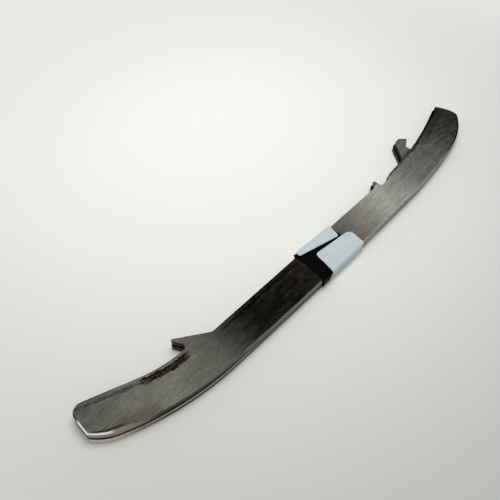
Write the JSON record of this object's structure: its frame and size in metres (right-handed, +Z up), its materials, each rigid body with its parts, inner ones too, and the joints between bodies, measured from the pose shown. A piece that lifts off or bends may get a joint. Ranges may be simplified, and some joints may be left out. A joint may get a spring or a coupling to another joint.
{
  "type": "hockey skate runner pair",
  "caption": "Pair of worn steel hockey skate runners with hollow-ground edges, holder hooks and trigger notches, stacked flat and bound by a tape band and a wrap-around label.",
  "frame": {"origin": "middle of the box round the bundle, on the surface it lies on", "axes": "+X from heel to toe, +Y from the ice edge to the hooks, +Z up through the stacked plates"},
  "size_m": [0.2822, 0.0356, 0.008],
  "materials": {
    "runner_steel": "worn brushed steel with a polished ice edge and dark stains",
    "black_tape": "dull black vinyl tape",
    "white_film": "satin white film label, bare"
  },
  "bodies": {
    "root": {"upper_blade": "runner_steel", "lower_blade": "runner_steel", "tape_band": "black_tape", "wrap_label": "white_film"}
  },
  "joints": []
}
